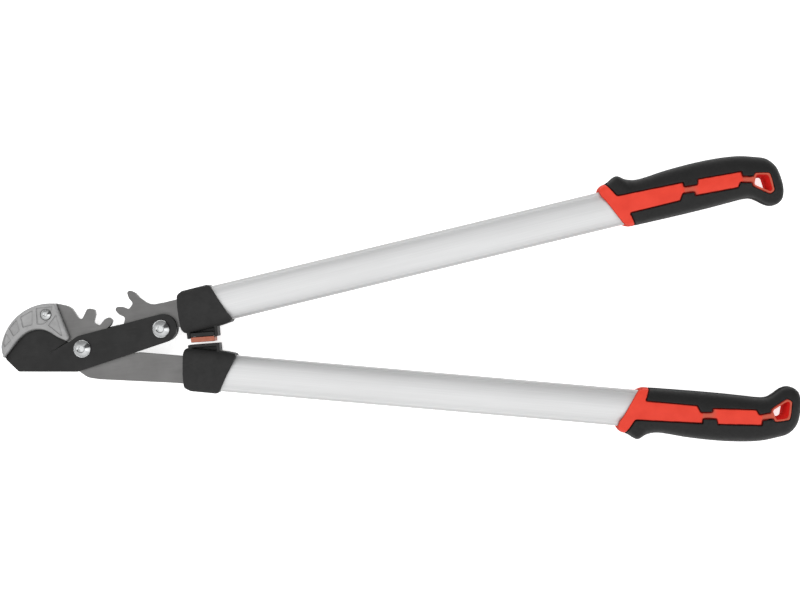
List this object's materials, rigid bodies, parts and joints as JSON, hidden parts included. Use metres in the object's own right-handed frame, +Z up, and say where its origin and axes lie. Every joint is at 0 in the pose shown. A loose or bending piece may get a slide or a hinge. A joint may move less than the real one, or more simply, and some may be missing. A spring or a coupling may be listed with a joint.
{
  "type": "geared bypass lopper",
  "caption": "Two-handed geared bypass lopper: coated blade and hook jaw with cast covers, toothed handle plates, oval tube handles, bumper stop and two-colour grips.",
  "frame": {"origin": "under the middle of the closed tool's box, on the surface that it lies on", "axes": "+X along the tool from the jaws to the grips, +Z up out of the front face, +Y across towards the upper handle"},
  "size_m": [0.742, 0.268, 0.0292],
  "materials": {
    "coated_blade": "black non-stick coating, satin",
    "plate_steel": "hardened steel plate, tumbled, dull grey",
    "cast_alloy": "die-cast alloy, fine sand texture",
    "plated_steel": "bright zinc plated steel",
    "bronze": "sintered bronze, oiled",
    "collar_nylon": "black glass-filled nylon, fine spark texture",
    "anodised_aluminium": "silver anodised, satin",
    "hard_red": "orange-red moulded plastic, satin gloss",
    "soft_black": "soft black overmould, matt",
    "bumper_rubber": "orange-red bump-stop rubber"
  },
  "bodies": {
    "blade_link": {"cutting_blade": "coated_blade", "rear_link": "coated_blade", "blade_pivot_bolt": "plated_steel", "blade_pivot_washer": "plated_steel", "blade_pivot_nut": "plated_steel", "blade_pivot_bush": "bronze", "handle_pivot_bolt": "plated_steel", "handle_pivot_washer": "plated_steel", "handle_pivot_nut": "plated_steel", "handle_pivot_bush": "bronze"},
    "lower_handle": {"hook_plate": "plate_steel", "hook_cover_front": "cast_alloy", "hook_cover_rear": "cast_alloy", "hook_cover_screw": "plated_steel", "hook_cover_nut": "plated_steel", "lower_collar": "collar_nylon", "lower_tang_plug": "collar_nylon", "lower_tube": "anodised_aluminium", "lower_tube_rivet_1": "plated_steel", "lower_tube_rivet_2": "plated_steel", "lower_grip_core": "hard_red", "lower_grip_sleeve": "soft_black"},
    "upper_handle": {"gear_plate": "plate_steel", "upper_collar": "collar_nylon", "bumper_holder": "collar_nylon", "bumper_pad": "bumper_rubber", "upper_tang_plug": "collar_nylon", "upper_tube": "anodised_aluminium", "upper_tube_rivet_1": "plated_steel", "upper_tube_rivet_2": "plated_steel", "upper_grip_core": "hard_red", "upper_grip_sleeve": "soft_black"}
  },
  "joints": [
    {"name": "blade_pivot", "type": "hinge", "parent": "blade_link", "child": "lower_handle", "pos_m": [-0.29557, 0.00011, 0.0146], "axis": [0, 0, 1], "range_deg": [-44, 0]},
    {"name": "handle_pivot", "type": "hinge", "parent": "blade_link", "child": "upper_handle", "pos_m": [-0.22068, 0.01305, 0.0146], "axis": [0, 0, 1], "range_deg": [0, 35.2]}
  ],
  "couplings": [
    {"joint": "handle_pivot", "follows": "blade_pivot", "ratio": -0.8}
  ]
}
